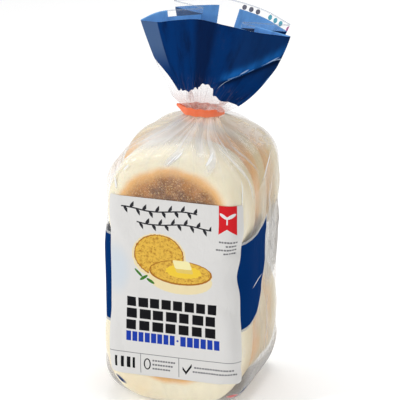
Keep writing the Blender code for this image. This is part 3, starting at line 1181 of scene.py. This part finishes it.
# The mouth of the fan, in order round the bag from the middle of its front, going left. A true mark is a
# folded edge, and the others lie on the panels between.
MOUTH = (
    ((20.0, -18.0, 243.0), False),
    ((9.0, -17.0, 243.6), False),
    ((-5.0, -14.0, 241.0), False),
    ((-17.7, -10.0, 237.6), True),
    ((-32.0, -4.0, 236.0), True),
    ((-19.6, 2.0, 241.2), False),
    ((7.2, 4.0, 245.2), True),
    ((-16.8, 14.0, 245.3), True),
    ((0.0, 17.0, 246.8), False),
    ((18.0, 18.0, 247.6), False),
    ((40.0, 15.0, 244.0), False),
    ((62.0, 6.0, 238.4), True),
    ((31.0, 1.0, 239.0), True),
    ((64.5, -4.0, 234.0), True),
    ((43.5, -16.0, 238.5), False),
)


def mouth_curve(columns):
    """The mouth's points, one for each column of the film, from the middle of the front to the right."""
    places = np.array([place for place, _ in MOUTH])[::-1]
    folded = [fold for _, fold in MOUTH][::-1]
    count = len(places)
    dense = []
    for index in range(count):
        start, end = places[index], places[(index + 1) % count]
        before = places[index - 1] if not folded[index] else start * 2 - end
        after = places[(index + 2) % count] if not folded[(index + 1) % count] else end * 2 - start
        for t in np.linspace(0, 1, 24, endpoint=False):
            dense.append(
                0.5
                * (
                    2 * start
                    + (end - before) * t
                    + (2 * before - 5 * start + 4 * end - after) * t * t
                    + (3 * start - before - 3 * end + after) * t**3
                )
            )
    dense = np.array(dense + [dense[0]])
    run = np.concatenate([[0.0], np.cumsum(np.linalg.norm(np.diff(dense, axis=0), axis=1))])
    # the list starts at its last place, so the film is turned until column 0 is the middle of the front
    start = run[24 * (count - 1)]
    at = (start + np.arange(columns) / columns * run[-1]) % run[-1]
    curve = np.stack([np.interp(at, run, dense[:, axis]) for axis in range(3)], -1)
    for _ in range(3):
        curve = (np.roll(curve, 1, axis=0) + curve * 2 + np.roll(curve, -1, axis=0)) / 4
    return curve


def fan_grid(columns, rows):
    """The film from the tie to the mouth of the fan: points, and the place on the flat film of each."""
    low, _ = superellipse_ring(NECK_HALF_WIDTH - 1.7, NECK_HALF_DEPTH - 1.7, 2.2, NECK_X, columns)
    low = np.column_stack([low, np.full(columns, TIE_MIDDLE - 0.8)])
    held = TIE_HIGH.z - low[0, 2]
    top = low + (0.0, 0.0, held)
    high = mouth_curve(columns)
    u = np.arange(columns) / columns * GIRTH
    u = np.where(u > GIRTH / 2, u - GIRTH, u)
    t = np.linspace(0, 1, rows - 6)[:, None]
    points = top[None] * (1 - t[..., None]) + high[None] * t[..., None]
    bow = 2.6 * t**0.5 * (1 - t)
    right = np.clip((high[:, 0] - 20.0) / 45.0, 0, 1) ** 1.5
    right = right * np.where(high[:, 1] > 2.0, 0.72, 1.0)
    points[..., 0] += bow * right * (6.6 + 5.5 * t)
    points[..., 2] -= bow * right * 9.0
    left = np.clip((-high[:, 0]) / 32.0, 0, 1)
    flare = np.exp(-(((t - 0.13) / 0.12) ** 2))
    points[..., 0] -= bow * left * 4.5 + flare * left * 2.6
    points[..., 2] -= bow * left * 2.0
    front = np.clip(-high[:, 1] / 18.0, -1, 1)
    points[..., 1] -= bow * front * 3.0
    below = low[None] + np.linspace(0, held, 6, endpoint=False)[:, None, None] * (0.0, 0.0, 1.0)
    points = np.concatenate([below, points])
    length = np.linalg.norm(np.diff(points, axis=0), axis=2).sum(axis=0).mean()
    u, v = np.meshgrid(u, np.linspace(0, length, rows))
    return points, u, v, length


def fan_folds(u, t):
    """How far the fan's film stands out from its smooth form, in millimetres."""
    fade = np.clip(1 - t / 0.62, 0, 1) ** 1.2 * (0.25 + 0.75 * np.clip((t - 0.05) / 0.08, 0, 1))
    rise = np.clip((t - 0.05) / 0.08, 0, 1)
    folds = pleat(u, 21, 4) * 1.5 * fade * (0.7 + 0.5 * wander(u, t * 60, 30.0, 50.0, 51))
    folds += pleat(u, 41, 5) * 0.12 * np.clip(1 - t / 0.35, 0, 1) * rise
    folds += pleat(u, 9, 8) * 1.3 * np.clip(1 - t / 1.1, 0, 1) * np.clip(t / 0.2, 0, 1)
    folds += 0.8 * wander(u, t * 60, 28.0, 30.0, 52) * t
    folds += 0.45 * crease(u, t * 60, 16.0, 26.0, 53) * np.clip(t * 2, 0, 1)
    # the long fold that runs up from the neck to the right-hand edge
    across, along = fold_place(u, t * 67.0)
    reach = np.clip(along / 12.0, 0, 1) * (np.abs(u) < 50.0)
    folds += 2.6 * np.exp(-np.abs(across - 1.5) / 3.0) * reach
    folds -= 2.0 * np.exp(-np.abs(across + 2.5) / 2.2) * reach
    return folds


class MUFFINS_OT_add_fan(bpy.types.Operator):
    """Add the open end of the bag, fanned out above the tie"""

    bl_idname = "muffins.add_fan"
    bl_label = "Bag fan"

    def execute(self, context):
        settings = context.scene.film_settings
        columns, rows = 320, 76
        points, u, v, length = fan_grid(columns, rows)
        t = np.linspace(0, 1, rows)[:, None] * np.ones_like(u)
        points = points + outward(points) * fan_folds(u, t)[..., None]
        points = eased(points, 1, 0.3)
        outside = film_material("fan_film", settings, length)
        within = film_material("fan_film_inside", settings, length, inside=True)
        film = skin("bag_fan", points, u, v, outside, within)
        modify(
            film,
            "SOLIDIFY",
            thickness=settings.thickness,
            offset=0.0,
            material_offset=1,
        )
        film.data.shade_smooth()
        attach(film, BODY)
        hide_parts("bag")
        return {"FINISHED"}


# ---------------------------------------------------------------- the tie


class MUFFINS_OT_add_tie(bpy.types.Operator):
    """Add the flat band round the neck"""

    bl_idname = "muffins.add_tie"
    bl_label = "Tie"

    def execute(self, context):
        settings = context.scene.tie_settings
        for other in context.view_layer.objects:
            other.select_set(False)
        middle = Vector((NECK_X, 0.0, TIE_LOW.z)) * MM
        bpy.ops.mesh.primitive_circle_add(vertices=72, radius=1.0, fill_type="NOTHING", location=middle)
        band = context.object
        band.name = "tie_band"
        band.data.name = "tie_band"
        bpy.ops.object.mode_set(mode="EDIT")
        choose(lambda vertex: True)
        half_width = NECK_HALF_WIDTH + 1.1
        half_depth = NECK_HALF_DEPTH + 1.1
        bpy.ops.transform.resize(
            value=(half_width * MM, half_depth * MM, 1.0), center_override=middle
        )
        height = TIE_HIGH.z - TIE_LOW.z
        for _ in range(6):
            bpy.ops.mesh.extrude_region_move(
                TRANSFORM_OT_translate={"value": (0.0, 0.0, height * MM / 6)}
            )
        bpy.ops.object.mode_set(mode="OBJECT")
        settle(band)
        left, right = NECK_X - half_width, NECK_X + half_width
        for vertex in band.data.vertices:
            x, y, z = (c / MM for c in vertex.co)
            share = (z - TIE_LOW.z) / height
            tail = max(0.0, 1 - (x - left) / 5.0) ** 2
            tip = max(0.0, 1 - (right - x) / 4.0) ** 2
            pinch = 0.86 - 0.45 * tip - 0.62 * tail
            z = TIE_LOW.z + height * (0.5 + (share - 0.5) * pinch)
            z += 1.7 * tail - 0.3 + 0.22 * math.sin(x * 0.9 + 1.0)
            x += -3.4 * tail + 1.6 * tip
            y *= 1 - 0.8 * tail - 0.5 * tip
            y += 0.35 * math.sin(x * 1.1) * share
            vertex.co = Vector((x, y, z)) * MM
        modify(band, "SOLIDIFY", thickness=settings.thickness, offset=1.0)
        modify(band, "BEVEL", width=0.12 * MM, segments=2, limit_method="ANGLE")
        band.data.shade_smooth()
        material, start = new_material("tie_band")
        place = start.node("ShaderNodeTexCoord", output=3)
        streak = place.noise(260.0, 3.0, 0.6, stretch=(0.3, 0.3, 2.0))
        patch = place.noise(120.0, 2.0, 0.5)
        base = tuple(settings.colour)
        light = tuple(min(1.0, c * 1.02 + 0.05) for c in base)
        colour = paint(start.tree, base, light, patch.ramp(0.35, 0.7))
        normal = start.node("ShaderNodeBump", {"Strength": 0.4, "Distance": 0.0003, "Height": streak})
        show(
            start.node(
                "ShaderNodeBsdfPrincipled",
                {"Base Color": colour, "Roughness": 0.42, "Normal": normal},
            )
        )
        band.data.materials.clear()
        band.data.materials.append(material)
        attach(band, BODY)
        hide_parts("tie")
        return {"FINISHED"}


# ---------------------------------------------------------------- the stage


def soft_light(name, place, target, size, power, colour=(1.0, 1.0, 1.0)):
    """A square studio light, turned towards a point."""
    data = bpy.data.lights.new(name, "AREA")
    data.shape = "RECTANGLE"
    data.size, data.size_y = size
    data.energy = power
    data.color = colour
    lamp = bpy.data.objects.new(name, data)
    lamp.location = place
    lamp.rotation_euler = (Vector(target) - Vector(place)).to_track_quat("-Z", "Y").to_euler()
    bpy.context.scene.collection.objects.link(lamp)


class MUFFINS_OT_set_stage(bpy.types.Operator):
    """Set up the floor, the lights and the camera"""

    bl_idname = "muffins.set_stage"
    bl_label = "Stage"

    def execute(self, context):
        settings = context.scene.stage_settings
        scene = context.scene
        for other in context.view_layer.objects:
            other.select_set(False)
        bpy.ops.mesh.primitive_plane_add(size=12.0, location=(0.0, 0.0, 0.0))
        floor = context.object
        floor.name = "floor"
        material, start = new_material("floor")
        values = {
            "Base Color": (0.94, 0.94, 0.94, 1.0),
            "Roughness": 0.9,
            "Emission Color": (1.0, 1.0, 1.0, 1.0),
            "Emission Strength": 0.18,
        }
        show(start.node("ShaderNodeBsdfPrincipled", values))
        floor.data.materials.append(material)

        world = bpy.data.worlds.new("studio")
        scene.world = world
        world.use_nodes = True
        world.node_tree.nodes["Background"].inputs["Color"].default_value = (1.0, 1.0, 1.0, 1.0)
        world.node_tree.nodes["Background"].inputs["Strength"].default_value = 0.40
        middle = (0.0, 0.0, 0.12)
        soft_light("key", (-0.95, -0.85, 0.95), middle, (0.10, 0.9), 9.0)
        soft_light("fill", (1.25, -0.55, 0.75), middle, (0.06, 0.9), 1.3)
        soft_light("top", (0.05, 0.15, 1.45), middle, (0.9, 0.5), 9.0)
        soft_light("back", (0.5, 1.3, 0.9), middle, (0.8, 0.4), 4.0)

        target = Vector((5.0 * math.cos(settings.azimuth), 5.0 * math.sin(settings.azimuth), 121.0)) * MM
        away = Vector(
            (
                math.cos(settings.elevation) * math.sin(settings.azimuth),
                -math.cos(settings.elevation) * math.cos(settings.azimuth),
                math.sin(settings.elevation),
            )
        )
        data = bpy.data.cameras.new("camera")
        camera = bpy.data.objects.new("camera", data)
        camera.location = target + away * settings.distance
        camera.rotation_euler = (-away).to_track_quat("-Z", "Y").to_euler()
        data.sensor_width = 36.0
        data.lens = 36.0 * settings.distance / 0.2491
        data.clip_start = 0.1
        data.clip_end = 50.0
        scene.collection.objects.link(camera)
        scene.camera = camera
        scene.view_settings.view_transform = "Standard"
        scene.cycles.transparent_max_bounces = 48
        return {"FINISHED"}


# ---------------------------------------------------------------- panel and registration


class MUFFINS_PT_panel(bpy.types.Panel):
    """Pieces of the bag of muffins"""

    bl_idname = "MUFFINS_PT_panel"
    bl_label = "Bag of Muffins"
    bl_space_type = "VIEW_3D"
    bl_region_type = "UI"
    bl_category = "Muffins"

    def draw(self, context):
        for operator in OPERATORS:
            self.layout.operator(operator.bl_idname)


OPERATORS = (
    MUFFINS_OT_add_muffins,
    MUFFINS_OT_add_bag,
    MUFFINS_OT_add_fan,
    MUFFINS_OT_add_tie,
    MUFFINS_OT_set_stage,
)
SETTINGS = {
    "muffin_settings": MuffinSettings,
    "film_settings": FilmSettings,
    "tie_settings": TieSettings,
    "stage_settings": StageSettings,
}


def register():
    for made in (*SETTINGS.values(), *OPERATORS, MUFFINS_PT_panel):
        bpy.utils.register_class(made)
    for name, made in SETTINGS.items():
        setattr(bpy.types.Scene, name, PointerProperty(type=made))


def unregister():
    for name in SETTINGS:
        delattr(bpy.types.Scene, name)
    for made in (MUFFINS_PT_panel, *reversed(OPERATORS), *reversed(tuple(SETTINGS.values()))):
        bpy.utils.unregister_class(made)


def main():
    register()
    bpy.ops.muffins.add_muffins()
    bpy.ops.muffins.add_bag()
    bpy.ops.muffins.add_fan()
    bpy.ops.muffins.add_tie()
    bpy.ops.muffins.set_stage()


if __name__ == "__main__":
    main()
